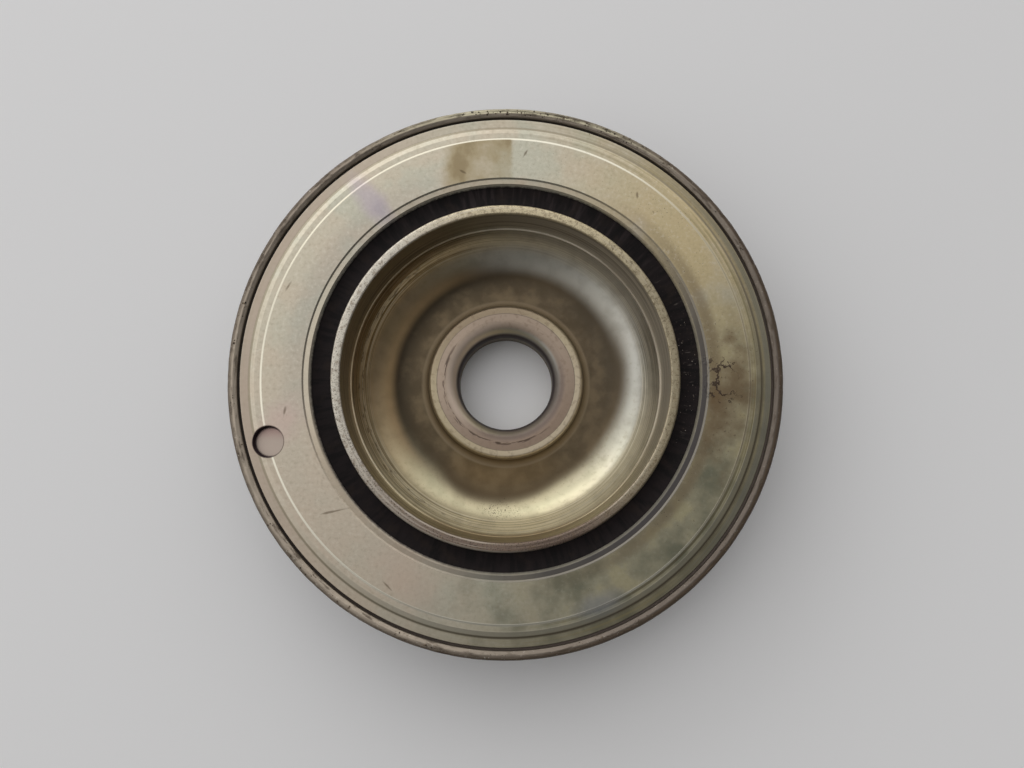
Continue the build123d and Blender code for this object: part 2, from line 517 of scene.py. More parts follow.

# %% [markdown]
# ## The plated iron
#
# The ring is cast iron, turned all over and zinc plated. Heat has stained the plating's clear
# film: it is a warm grey on the left, yellow on the far right, brown and green on the near right,
# where it is also painted darker as shade on the side away from the window. The step, groove,
# hole, lip and counterbore carry painted highlights and shade as well.
# Tool marks run round it, too fine to see one by one. Each stain is a wide soft mask with its own
# colour, which is easier to steer than one noise with many colours.

# %% Plated iron: film and tool marks
plate = Finish("plated_iron", (201, 193, 175), 1.0, 0.40)
lay, band, side, noise, spot = plate.lay, plate.band, plate.side, plate.noise, plate.spot
x, y, z, radius, place = plate.x, plate.y, plate.z, plate.radius, plate.place
cloud = noise(place, 0.07, 4.0)
haze = noise((x * 0.09 + 30, y * 0.09, 4.0), 1.0, 4.0)
mottle = noise(place, 0.9, 4.0, 0.6)
fleck = noise(place, 2.4, 2.0)
lay(cloud.smooth(0.42, 0.62) * 0.7, (192, 192, 176))
lay(haze.smooth(0.46, 0.66) * 0.6, (203, 190, 171))
lay(side(18, 66) * cloud.smooth(0.20, 0.50) * 0.9, (198, 180, 140))
# Darker greenish film on the near right: partly a heat stain, partly painted shade on the side away from the
# window.
lay(side(-38, 76) * 0.85, (160, 155, 131), rough=0.46)
blotch = noise((x * 0.11 + 9, y * 0.11, 2.0), 1.0, 3.0, 0.5)
lay(side(-45, 75) * blotch.smooth(0.40, 0.70) * 0.8, (112, 114, 98), rough=0.5)
lay(side(-30, 70) * blotch.smooth(0.46, 0.34) * 0.4, (196, 186, 146))
lay(side(215, 50) * 0.6, (203, 187, 170))
lay(radius.smooth(68.0, 60.0) * side(148, 55) * 0.4, (164, 157, 150))
lay(band(58.2, 62.0, 1.5) * side(-12, 80) * 0.7, (128, 113, 90))
lay(mottle.smooth(0.50, 0.72) * 0.24, (146, 136, 114))
lay(mottle.smooth(0.48, 0.30) * (0.28 - side(-40, 90) * 0.2), (222, 216, 202))
lay(fleck.smooth(0.62, 0.74) * cloud.smooth(0.45, 0.60) * 0.22, (136, 124, 104))
fine_marks = plate.along_turning(9.0, 2.0, 2.0)
coarse_marks = plate.along_turning(1.6, 1.2, 4.0, 5.0)
plate.roughness = plate.roughness + (coarse_marks - 0.5) * 0.16 + (mottle - 0.5) * 0.16
plate.raise_by(fine_marks * 0.003 + coarse_marks * 0.006 + mottle * 0.008)
plate.tell("film")

# %% Plated iron: shoulder and step, with painted highlight and shade
shoulder = band(70.8, 76.3, 0.2)
lay(band(73.9, 76.3, 0.3) * side(165, 75) * 0.8, (188, 171, 157))
lay(band(73.5, 76.2, 0.2) * (side(-20, 100) * 0.35 + 0.12), (112, 102, 80))
lay(shoulder * coarse_marks.smooth(0.50, 0.62) * (side(-10, 110) * 0.55 + 0.06), (148, 138, 102))
# Painted shade on the step's small wall: slight all round, deep on the near right.
lay(band(73.3, 74.1, 0.2) * (side(-40, 80) * 0.8 + 0.06), (76, 68, 50))
lay(band(74.7, 76.3, 0.4) * side(0, 65) * 0.6, (124, 124, 118))
lay(shoulder * fine_marks.smooth(0.52, 0.64) * side(-5, 90) * 0.45, (104, 96, 72))
# Painted highlight: the slope is laid lighter everywhere but on the window's side.
lay(band(71.9, 73.4, 0.2) * side(-75, 110) * 0.5, (206, 200, 182), rough=0.48)
# Painted highlight: a near-white line round the step's edge, laid less bright on the window's side and on
# the right.
edge = band(69.85, 70.45, 0.12)
lay(edge * 0.85, (250, 246, 230), rough=0.5)
lay(edge * side(135, 55) * 0.6, (176, 168, 148), rough=0.4)
lay(edge * side(5, 62) * 0.75, (176, 162, 128), rough=0.6)
# Painted shade: a dark line just outside the step's edge on the near right.
lay(band(70.5, 71.2, 0.12) * side(-48, 40) * 0.7, (84, 78, 62), rough=0.6)
# Painted shade: the step's small wall laid a little darker all round.
lay(band(73.3, 74.0, 0.12) * 0.7, (150, 141, 122), rough=0.5)
plate.tell("shoulder")

# %% Plated iron: stains
ragged_x = x + (plate.torn - 0.5) * 3
smear = ragged_x.smooth(-19.5, -15.5) * ragged_x.smooth(2.6, 1.2) * band(58.4, 70.0) * y.smooth(0.0, 1.0)
streaks = noise((x * 0.13, y * 0.09, 1.0), 1.0, 4.0, 0.55)
lay(smear * (streaks.smooth(0.30, 0.60) * 0.45 + 0.35), (164, 148, 114), rough=0.46)
lay(smear * streaks.smooth(0.52, 0.66) * 0.4, (132, 114, 84), rough=0.52)
heat_tints = (
    ((-39.5, 51.5, 8.0, 3.4, 128, 0.45, 1.2), 0.55, (184, 169, 184)),
    ((-36.5, 48.5, 3.2, 1.8, 120, 0.4, 1.6), 0.3, (150, 145, 158)),
    ((-64.0, -13.5, 7.0, 4.5, 60, 0.5, 1.4), 0.45, (206, 180, 174)),
    ((26.0, -64.5, 6.0, 3.0, 20, 0.5, 1.4), 0.4, (150, 154, 164)),
    ((-28.0, -57.0, 11.0, 5.0, -45, 0.5, 1.4), 0.4, (206, 184, 168)),
)
for oval, strength, tint in heat_tints:
    lay(spot(*oval) * strength, tint)
plate.tell("stains")

# %% Plated iron: small scrapes
scrapes = ((-62.9, 25.9, 1.5, 0.35, 60), (-63.0, -10.7, 1.2, 0.35, 80), (-49.0, -38.9, 3.2, 0.22, 12),
           (-32.9, -59.4, 1.5, 0.22, -45), (-12.6, 60.2, 0.9, 0.25, 150), (6.0, 66.0, 1.4, 0.25, 60),
           (38.6, 53.0, 0.25, 0.7, 0), (43.2, 48.0, 0.25, 0.6, 20))
for scrape in scrapes:
    lay(spot(*scrape, ragged=1.6, soft=1.2) * 0.6, (104, 90, 72), rough=0.6)
print(len(scrapes), "scrapes")

# %% Plated iron: specks and crust
crust_x, crust_y = 61.5, -1.5
vein_width, vein_soft, vein_patch = 0.028, 0.014, 90


def crust_crack(graph, x, y, z):
    """Near 0 along wandering lines, which the crumbs follow too."""
    return abs(graph.noise((x, y, z + vein_patch), 0.13, 5.0, 0.6) - 0.5)


speckled = cloud.smooth(0.35, 0.60) * (side(5, 100) * 0.9 + 0.10)
lay(fleck.smooth(0.68, 0.74) * speckled, (70, 58, 44), metal=0.3, rough=0.75)
crust_area = spot(63.5, -6.0, 16.0, 6.5, 84, 0.9, 1.3)
crust_heart = spot(crust_x, crust_y, 8.0, 4.2, 96, 0.9, 1.2)
veins = (crust_heart * vein_width - crust_crack(plate, x, y, z)).smooth(0.0, vein_soft)
crust = (veins + mottle.smooth(0.62, 0.72) * 0.5).at_most(1.0) * crust_area
lay(crust_area * (blotch.smooth(0.40, 0.62) * 0.35 + 0.30), (122, 98, 72), rough=0.6)
lay(crust * 0.9, (52, 33, 23), metal=0.2, rough=0.8)
plate.raise_by(crust * 0.12)
plate.tell("crust")

# %% Plated iron: the counterbore
annulus = band(56.5, 58.0, 0.10)
lay(annulus * side(180, 45) * 0.5, (224, 212, 190))
lay(annulus * (side(92, 45) + side(225, 35)) * 0.4, (152, 136, 116))
lay(annulus * (side(-32, 108) * 0.95 + 0.03), (88, 84, 84), metal=0.8, rough=0.45)
# Painted highlights: the counterbore's two edge lines are laid lighter on the right, against its darker band
# there.
lay(band(58.0, 58.5, 0.1) * side(-30, 120), (136, 131, 123), rough=0.5)
lay(band(55.7, 56.5, 0.1) * side(-32, 108) * 0.8, (108, 104, 98), rough=0.5)
rubbed = radius.smooth(56.5, 55.9) * z.smooth(28.0, 28.6) * (1 - side(-25, 100) * 0.7)
lay(rubbed * (mottle.smooth(0.35, 0.60) * 0.35 + 0.6), (44, 39, 38), metal=0.1, rough=0.75)
plate.tell("counterbore")

# %% Plated iron: the groove and the hole
# Painted shade: the groove is laid dark and dull for the shade in it; it is laid lighter on the near right,
# a painted highlight.
groove = radius.smooth(76.3, 76.55) * radius.smooth(77.4, 77.2) * z.smooth(28.9, 28.4)
lay(groove, (50, 42, 36), metal=0.1, rough=0.85)
lay(groove * side(-45, 100) * 0.8, (112, 100, 92), rough=0.7)
off_x, off_y = x - hole_x, y - hole_y
off_hole = (off_x * off_x + off_y * off_y) ** 0.5
# Painted shade: a dark ring round the hole's mouth.
lay(off_hole.smooth(hole_radius + 0.35, hole_radius + 0.05) * 0.7, (70, 54, 52), rough=0.6)
sunk = z.smooth(ring_front - 0.1, ring_front - 0.4)
in_hole = off_hole.smooth(hole_radius + 0.2, hole_radius + 0.05) * sunk
lay(in_hole, (194, 179, 168), rough=0.45)
lay(in_hole * y.smooth(hole_y, hole_y + 4) * 0.6, (182, 146, 142))
# Painted shade: a dark ring round the hole's floor, where its wall meets it.
lay(in_hole * off_hole.smooth(hole_radius - 0.75, hole_radius - 0.15), (58, 42, 46), metal=0.4, rough=0.7)
plate.tell("hole")

# %% Plated iron: the lip
lip = radius.smooth(77.2, 77.4) * z.smooth(27.0, 27.5)
knocks = noise((plate.east * 14, plate.north * 14, radius * 0.6 + z * 0.4), 1.0, 5.0, 0.62)
lay(lip, (180, 168, 153), metal=0.9, rough=0.48)
far_side = side(88, 42)
# Painted highlight: the lip's top is laid paler on the far side, where the window's light falls.
lay(lip * far_side * radius.smooth(78.0, 78.6) * 0.8, (204, 198, 170), metal=1.0, rough=0.42)
lay(lip * side(135, 45) * 0.4, (116, 104, 96), rough=0.55)
lay(lip * side(-25, 105) * 0.9, (100, 91, 84), metal=0.8, rough=0.5)
lay(lip * side(-15, 115) * radius.smooth(78.4, 79.0), (92, 76, 61), metal=0.6, rough=0.6)
lay(lip * radius.smooth(78.5, 79.7) * (0.8 - far_side * 0.7), (92, 80, 68), metal=0.6, rough=0.6)
lay(lip * knocks.smooth(0.50, 0.68) * 0.75, (88, 76, 64), metal=0.5, rough=0.7)
bright_knocks = fleck.smooth(0.62, 0.70) * mottle.smooth(0.50, 0.60) * (0.8 - side(-30, 90) * 0.5)
lay(lip * bright_knocks, (214, 208, 196), metal=1.0, rough=0.4)
lay(lip * coarse_marks.smooth(0.52, 0.60) * side(45, 70) * 0.6, (78, 64, 58), metal=0.5, rough=0.6)
plate.raise_by(lip * knocks * 0.10)
plate.tell("lip")

# %% Plated iron: the belt track and back
outside = (z.smooth(28.2, 27.8) * radius.smooth(77.3, 77.8) + z.smooth(26.8, 26.4)).at_most(1.0)
lay(outside, (112, 104, 96), metal=0.85, rough=0.5)
in_track = radius.smooth(75.4, 73.6) * z.smooth(ring_back + 0.6, ring_back + 1.2)
lay(outside * in_track * 0.9, (54, 44, 36), metal=0.2, rough=0.85)
lay(outside * cloud.smooth(0.46, 0.64) * 0.5, (92, 74, 58), metal=0.6, rough=0.65)
lay(outside * mottle.smooth(0.48, 0.66) * 0.6, (82, 64, 50), metal=0.4, rough=0.8)
plated_iron = plate.done()

# %% [markdown]
# ## The plated steel
#
# The hub has the same plating, brighter where it is turned smooth. Oil has dried brown in the
# bottom of the bowl round the boss, the boss's face is matt where the bolt's washer sat, and the
# lip's end face is bare and finely pitted. The brown in the bowl is also painted shadow, of the
# cup's wall and of the boss. Its edge wanders, so its mask is laid on a radius that is pushed in
# and out on some sides, out where those shadows fall. Other painted light and shade follow: pale
# on the near side and far right of the bowl, dark round its middle, down the bore and on one side
# of the bore's entry.

# %% Plated steel: film and tool marks
steel = Finish("plated_steel", (200, 193, 174), 1.0, 0.36)
lay, band, side, noise, spot = steel.lay, steel.band, steel.side, steel.noise, steel.spot
z, radius, place = steel.z, steel.radius, steel.place
film = noise(place, 0.08, 4.0)
stain = noise(place, 0.75, 4.0, 0.6)
grit = noise(place, 2.6, 3.0)
lay(film.smooth(0.42, 0.62) * 0.6, (190, 188, 164))
# Painted light: the hub is laid paler and warmer on its near side, where the bowl's broad glow falls.
lay(side(255, 80) * 0.7, (216, 204, 166))
lay(side(30, 80) * 0.7, (190, 190, 188))
lay(stain.smooth(0.52, 0.70) * 0.25, (150, 140, 112))
turned_marks = steel.along_turning(7.0, 2.0, 2.0)
wide_marks = steel.along_turning(1.4, 1.0, 4.0, 3.0)
steel.roughness = steel.roughness + (wide_marks - 0.5) * 0.12 + (stain - 0.5) * 0.12
steel.raise_by(turned_marks * 0.003 + wide_marks * 0.006 + grit * 0.003)
steel.tell("film")

# %% Plated steel: oil and painted shadow in the bowl
in_bowl = z.smooth(21.0, 17.0) * radius.smooth(22.8, 23.6)
# The brown in the bowl: dried oil, and painted shadow of the cup's wall and of the boss. Its edge is pushed
# out on the far side and at the very bottom, where those shadows fall, and held in at the lower corners.
oil_and_shade_reach = radius + (noise(place, 0.04, 0.0) - 0.5) * 3 - side(50, 130) * 3.5
oil_and_shade_reach = oil_and_shade_reach + side(312, 45) * 0.8 + side(212, 36) * 1.8 - side(265, 35) * 1.6
lay(in_bowl * oil_and_shade_reach.smooth(38.0, 32.5) * 0.95, (104, 88, 66), metal=0.9, rough=0.42)
# Mostly painted shade: a dark ring round the middle of the bowl, strongest away from the near right, with a
# greyer part on the right.
painted_shade_ring = radius.smooth(26.5, 33.5) * radius.smooth(41.0, 34.5) * in_bowl
lay(painted_shade_ring * side(155, 125) * 0.95, (54, 45, 33), metal=0.8, rough=0.46)
lay(in_bowl * radius.smooth(33.5, 37.0) * side(165, 75) * 0.75, (184, 154, 112))
lay(painted_shade_ring * side(22, 50) * 0.5, (54, 52, 48))
steel.tell("oil")

# %% Plated steel: the bowl's rise
crown = band(42.0, 46.4, 0.8) * z.smooth(21.0, 18.5)
# Partly a dull film, partly painted light: the rise is laid pale only on its near side, where the window's
# glow falls.
lay(crown * side(275, 110) * 0.85, (226, 212, 174), metal=0.4, rough=0.5)
lay(crown * wide_marks.smooth(0.48, 0.62) * (side(170, 100) * 0.4 + 0.25), (118, 100, 70))
lay(crown * wide_marks.smooth(0.44, 0.36) * 0.5, (230, 226, 208), rough=0.3)
scored = steel.along_turning(3.2, 0.8, 2.0, 8.0)
lay(crown * scored.smooth(0.52, 0.62) * 0.5, (98, 84, 60), rough=0.5)
lay(crown * scored.smooth(0.46, 0.38) * 0.5, (238, 232, 214), rough=0.3)
steel.raise_by(crown * scored * 0.04)
lay(in_bowl * grit.smooth(0.66, 0.74) * side(275, 90) * 0.5, (84, 70, 50), rough=0.6)
steel.tell("bright rise")

# %% Plated steel: mottling and specks, with painted shadow and highlights
drift = noise(place, 0.20, 4.0, 0.5)
in_dish = in_bowl * radius.smooth(36.0, 29.0)
lay(in_dish * drift.smooth(0.42, 0.68) * 0.4, (72, 60, 46), rough=0.5)
lay(in_dish * side(268, 45) * 0.35, (150, 122, 80))
# Painted highlight: the bowl's far right is laid paler.
lay(in_bowl * radius.smooth(34.0, 39.0) * side(60, 55) * 0.55, (220, 217, 206), metal=0.7)
lay(crown * side(318, 35) * 0.4, (180, 173, 152))
lay(in_dish * drift.smooth(0.52, 0.32) * 0.2, (158, 138, 106), rough=0.38)
lay(in_bowl * drift.smooth(0.44, 0.70) * 0.16, (84, 74, 54))
low_side = in_bowl * side(268, 62)
# Painted shadow of the boss: a dark crescent on the bowl's near side; just beyond it the bowl is laid paler,
# a painted highlight.
lay(low_side * oil_and_shade_reach.smooth(36.5, 34.0) * oil_and_shade_reach.smooth(29.5, 33.5) * 0.5, (72, 60, 46))
lay(low_side * oil_and_shade_reach.smooth(36.5, 39.0) * radius.smooth(41.5, 39.0) * 0.35, (190, 190, 158))
settled = spot(-1.5, -39.0, 5.0, 2.4, 4, 0.9, 1.4) * in_bowl
lay(settled * grit.smooth(0.58, 0.66), (58, 46, 34), metal=0.3, rough=0.8)
spots = noise((steel.east * 16, steel.north * 16, radius * 2.0), 1.0, 3.0).smooth(0.56, 0.66)
lay(band(43.3, 44.9, 0.4) * spots * (side(185, 90) * 0.6 + 0.05), (84, 62, 44), metal=0.6, rough=0.6)
steel.tell("mottling")

# %% Plated steel: the cup's wall
on_wall = band(46.0, 47.75, 0.1) * z.smooth(16.8, 17.6)
rings = noise((z * 0.8 + radius * 2.0, steel.east * 0.9, steel.north * 0.9), 1.0, 3.0)
lay(on_wall * 0.35, (176, 162, 138), rough=0.46)
lay(on_wall * side(40, 80) * 0.5, (206, 196, 180), metal=0.6, rough=0.5)
lay(on_wall * side(268, 40) * 0.6, (124, 100, 64))
lay(on_wall * rings.smooth(0.50, 0.62) * 0.45, (106, 92, 70), metal=0.7, rough=0.55)
lay(on_wall * rings.smooth(0.42, 0.34) * 0.4, (226, 218, 200), rough=0.32)
steel.tell("wall")

# %% Plated steel: the lip
on_lip = radius.smooth(47.4, 47.7) * z.smooth(29.0, 29.3)
lay(on_lip, (208, 202, 190), metal=1.0, rough=0.40)
lay(on_lip * side(75, 60) * 0.7, (210, 194, 154))
lay(on_lip * side(275, 80) * 0.9, (130, 110, 97), metal=0.8, rough=0.6)
lay(on_lip * side(-5, 60) * 0.8, (152, 143, 128), metal=0.9, rough=0.5)
lay(on_lip * stain.smooth(0.50, 0.66) * 0.5, (140, 120, 98), metal=0.8, rough=0.55)
lay(on_lip * grit.smooth(0.54, 0.66) * (side(260, 130) * 0.5 + 0.45), (66, 56, 48), metal=0.3, rough=0.8)
crackle = abs(noise(place, 1.1, 3.0, 0.6) - 0.5).smooth(0.04, 0.0) * stain.smooth(0.42, 0.56)
lay(on_lip * crackle * 0.4, (96, 80, 64), metal=0.5, rough=0.7)
lay(on_lip * wide_marks.smooth(0.54, 0.64) * 0.5, (206, 198, 184), rough=0.42)
lay(on_lip * wide_marks.smooth(0.47, 0.38) * side(270, 100) * 0.6, (84, 70, 60), metal=0.7)
aged_side = on_lip * side(5, 75)
lay(aged_side * 0.55, (180, 166, 132), metal=0.8, rough=0.55)
lay(aged_side * crackle * 0.7, (88, 72, 52), metal=0.3, rough=0.8)
steel.raise_by(on_lip * grit * -0.03 - aged_side * crackle * 0.05)
steel.tell("lip")

# %% Plated steel: the boss
on_top = z.smooth(12.0, 12.6)
lay(radius.smooth(21.3, 21.0) * on_top, (180, 162, 146), metal=0.85, rough=0.5)
boss_foot = band(24.0, 26.2, 0.4) * z.smooth(12.5, 10.0) * z.smooth(5.0, 6.0)
lay(boss_foot * 0.8, (160, 142, 114), metal=0.4, rough=0.65)
boss_side = band(21.2, 24.4, 0.1) * z.smooth(10.0, 11.5)
lay(boss_side, (196, 182, 154), rough=0.5)
lay(boss_side * side(110, 75) * 0.6, (150, 130, 112))
lay(boss_side * side(320, 90) * 0.6, (220, 206, 184))
lay(on_top * stain.smooth(0.50, 0.68) * radius.smooth(24.4, 23.6) * 0.35, (130, 110, 92))
lay(band(20.95, 21.2, 0.08) * on_top * 0.45, (84, 70, 58), metal=0.5, rough=0.7)
washer_face = on_top * band(17.0, 21.0, 0.2)
# The washer face is laid darker towards the near right. Painted light: it is laid lighter on the left.
lay(washer_face * side(295, 110) * 0.7, (146, 126, 110))
lay(washer_face * side(160, 60) * 0.4, (206, 186, 168))
trail = noise((steel.east * 5, steel.north * 5, radius * 1.8), 1.0, 4.0).smooth(0.47, 0.56)
dirt_ring = band(18.5, 19.3, 0.25) * (side(190, 60) * 0.9 + side(270, 50) * 0.9 + 0.1) * trail
lay(dirt_ring * on_top * 0.8, (72, 54, 45), metal=0.3, rough=0.8)
entry = radius.smooth(19.0, 17.2) * z.smooth(8.0, 9.0)
# The entry's mauve patina is laid lighter on the left, painted light, and darker on the right, painted
# shade.
lay(entry * side(165, 85) * 0.9, (224, 206, 190), rough=0.5)
lay(entry * side(310, 110) * 0.85, (112, 100, 94), metal=0.7, rough=0.55)
# Partly old oil, mostly painted shade: the bore is laid dark all the way down.
bore = radius.smooth(15.6, 14.8)
lay(bore, (58, 46, 44), metal=0.5, rough=0.6)
steel.tell("boss")

# %% Plated steel: back and skirt
back_side = (z.smooth(7.2, 6.4) + radius.smooth(50.2, 50.35) * z.smooth(29.2, 28.9)).at_most(1.0)
lay(back_side * (film.smooth(0.30, 0.65) * 0.4 + 0.45), (126, 117, 100), metal=0.85, rough=0.52)
lay(back_side * stain.smooth(0.54, 0.70) * 0.5, (96, 70, 48), metal=0.5, rough=0.7)
plated_steel = steel.done()

# %% [markdown]
# ## Aged rubber
#
# Carbon-black rubber that has gone dull. Being squeezed in has left fine lines across its face,
# and it is scuffed pale on the right. The lines come from a noise whose coordinates run quickly
# round the axis and slowly outwards.

# %% Aged rubber
black = Finish("aged_rubber", (22, 15, 16), 0.0, 0.72)
strips = black.noise((black.east * 40, black.north * 40, black.radius * 0.12), 1.0, 3.0)
grey = black.noise(black.place, 0.22, 4.0)
crumb = black.noise(black.place, 2.0, 3.0)
black.lay(strips.smooth(0.47, 0.62) * 0.8, (12, 9, 10), rough=0.8)
black.lay(strips.smooth(0.46, 0.34) * (black.side(80, 60) * 0.6 + 0.1), (44, 36, 37))
scuffs = black.noise((black.east * 44, black.north * 44, black.radius * 0.22), 1.0, 3.0).smooth(0.62, 0.72)
black.lay(scuffs * black.side(8, 34) * 0.45, (112, 104, 98), rough=0.9)
black.lay(grey.smooth(0.50, 0.72) * 0.5, (40, 31, 27), rough=0.8)
black.lay(crumb.smooth(0.64, 0.74) * (black.side(5, 45) * 0.4 + 0.02), (92, 80, 70), rough=0.9)
black.raise_by(strips * 0.05 + crumb * 0.04)
aged_rubber = black.done(specular=0.2)

# %% [markdown]
# ## The inertia ring
#
# Its front is stepped: a raised lip at the belt flange, a narrow groove inside it, a sloping
# shoulder, the wide flat face, and a shallow counterbore round the rubber. Its rim carries six
# V grooves for a ribbed belt. A blind hole breaks through the step beside the flat face, so it is
# cut with a Boolean, the one feature here that a lathe can't make.

# %% The swollen gap
def bead(radius, top, bottom):
    """The gap's side, from its top edge down to its bottom edge, with its swelling."""
    swelling = ((0, bead_foot), (bead_height, bead_half), (bead_height, -bead_half), (0, -bead_foot))
    middle = [corner(radius + out, ring_middle + up) for out, up in swelling]
    return [corner(radius, top), *middle, corner(radius, bottom)]


print("the gap swells by", bead_height, "mm")

# %% Ring section
flat_height = ring_front - 0.06
groove_wall = corner(77.35, 28.8, 0.2, 0.2)
lip_top, lip_side = corner(78.3, 29.42, 0.6, 0.6), corner(79.4, 29.35, 0.5, 0.8)
lip_edge, lip_base = corner(80, 28.6, 0.4, 0.4), corner(80, 27.76, 0.3, 0.6)
front_steps = [
    corner(gap_outer, 28.8, 0.15, 0.1), corner(56.6, 29.5, 0.15, 0.1), corner(58.0, 29.5, 0.1),
    corner(58.4, flat_height, 0.15), corner(69.95, flat_height, 0.2),
    corner(70.45, 29.72, 0.2), corner(72.05, 29.72, 0.3), corner(73.4, 29.4, 0.2),
    corner(73.9, 29.15, 0.2), corner(76.35, 29.15, 0.15),
    corner(76.6, 28.05, 0.15, 0.2), corner(77.15, 28.05, 0.15, 0.2), groove_wall,
    *straight(groove_wall, lip_top, 3), lip_top, *straight(lip_top, lip_side, 5), lip_side,
    *straight(lip_side, lip_edge, 3), lip_edge, *straight(lip_edge, lip_base, 3), lip_base,
]
back = [corner(80, ring_middle - track_half, 0.3, 0.8), corner(80, ring_back + 0.8, 0.3, 0.8),
        corner(79.2, ring_back, 0.3, 0.6)]
print("front of the ring:", len(front_steps), "corners")

# %% Belt track
track = []
for number in range(groove_count):
    centre = ring_middle + ((groove_count - 1) / 2 - number) * groove_pitch
    if number:
        track += [corner(rib_radius, centre + groove_pitch / 2 - rib_half)]
    track += [corner(root_radius, centre + root_half), corner(root_radius, centre - root_half)]
    if number < groove_count - 1:
        track += [corner(rib_radius, centre - groove_pitch / 2 + rib_half)]
print("belt track:", groove_count, "grooves,", len(track), "corners")

# %% Drill bit
bit_sides = 96
bit_corner = 0.25                   # the bit's bevelled corner leaves one round the hole's floor


def drill_bit():
    """A round cutter for the hole, bevelled at its tip."""
    rings = [(hole_radius - bit_corner, hole_floor), (hole_radius, hole_floor + bit_corner),
             (hole_radius, ring_front + 3)]
    form = bmesh.new()
    loops = []
    for size, height in rings:
        turns = [n * pi / (bit_sides / 2) for n in range(bit_sides)]
        loops.append([form.verts.new(((hole_x + size * cos(t)) * mm, (hole_y + size * sin(t)) * mm,
                                      height * mm)) for t in turns])
    for lower, upper in zip(loops, loops[1:]):
        for n in range(bit_sides):
            after = (n + 1) % bit_sides
            form.faces.new((lower[n], lower[after], upper[after], upper[n]))
    form.faces.new(reversed(loops[0]))
    form.faces.new(loops[-1])
    mesh = bpy.data.meshes.new("drill_bit")
    form.to_mesh(mesh)
    form.free()
    mesh.materials.append(plated_iron)
    mesh.polygons.foreach_set("use_smooth", [True] * len(mesh.polygons))
    return stand("drill_bit", mesh)


print("the drill bit has", bit_sides, "sides")

# %% Turn the ring
bit = drill_bit()
gap_side = list(reversed(bead(gap_outer, 28.8, ring_back)))[:-1]
inertia_ring = turn("belt_ring", front_steps + track + back + gap_side, plated_iron,
                    wear_depth=0.25, wear_size=5.0, seed=3.0, cutter=bit)
bpy.data.objects.remove(bit)

# %% [markdown]
# ## The hub
#
# A steel cup with a boss in its middle for the crankshaft's bolt. The bowl between boss and wall
# is one arc, and the web under it is a second arc round the same centre, as far away as the web
# is thick. The outside swells as the ring's bore does, which locks the rubber in. Only the lip's
# end face is worn.

# %% Hub section
bowl_centre, bowl_radius = (31.775, 22.222), 15.222
web_thickness = 5
bowl_end = degrees(atan2(17.5 - bowl_centre[1], 46.25 - bowl_centre[0]))
under_edge = 43.7
under_radius = bowl_radius + web_thickness
under_height = bowl_centre[1] - (under_radius ** 2 - (under_edge - bowl_centre[0]) ** 2) ** 0.5
web_end = -degrees(atan2(bowl_centre[1] - under_height, under_edge - bowl_centre[0]))
hub_section = [
    *reversed(arc((19.0, 8.5), 4.5, 90, 180, 8)), corner(23.3, 13.0, 1.0), corner(24.58, 7.0, 1.5),
    *arc(bowl_centre, bowl_radius, -90, bowl_end, 24), corner(46.75, 17.5, 0.15),
    corner(47.6, 29.6, 0.5, 0.3), corner(49.0, 29.6), corner(50.4, 29.6, 0.7, 0.4),
    *bead(gap_inner, 29.0, 3.0)[1:], corner(46.2, 3.0, 0.3), corner(46.2, under_height, 0.3),
    *reversed(arc(bowl_centre, under_radius, -90, web_end, 16)), corner(24.0, 2.0, 0.2),
    corner(23.0, 1.0, 0.2), corner(23.0, 0.0, 0.3), corner(15.3, 0.0, 0.1), corner(14.5, 0.8, 0.1),
]
hub = turn("turned_hub", hub_section, plated_steel, wear_depth=0.15, wear_size=3.0, seed=7.0)

# %% [markdown]
# ## The rubber ring
#
# A strip of rubber squeezed between hub and ring until it fills the gap. At the front, where it
# is free, its face sags into a shallow trough, so the outline starts with a parabola.

# %% Rubber section
rubber_front, rubber_back, rubber_sag = 28.4, 3.4, 0.5
gap_width, trough_steps = gap_outer - gap_inner, 10
trough = []
for step in range(trough_steps + 1):
    from_middle = 2 * step / trough_steps - 1
    trough.append(corner(gap_inner + gap_width * step / trough_steps,
                         rubber_front - rubber_sag * (1 - from_middle ** 2)))
outer_side = bead(gap_outer, rubber_front, rubber_back)[1:]
inner_side = list(reversed(bead(gap_inner, rubber_front, rubber_back)))[:-1]
rubber = turn("bonded_rubber", trough + outer_side + inner_side, aged_rubber)

# %% [markdown]
# ## Crumbs
#
# Dirt isn't only a colour. Grains sit on the lip, a crust has dried on one side of the face, and
# pale dust clings to the rubber. Each lot is scattered by a Geometry Nodes tree over the piece's
# own surface: points are spread as thickly as a field says, and each gets one rough grain, turned
# and sized at random from a fixed seed. The crust's field uses the same noise as its finish, so
# its grains lie along the dark veins under them. Grime is dark and greasy, dust is pale and dry.

# %% The crumb tree
grain_faces = 20


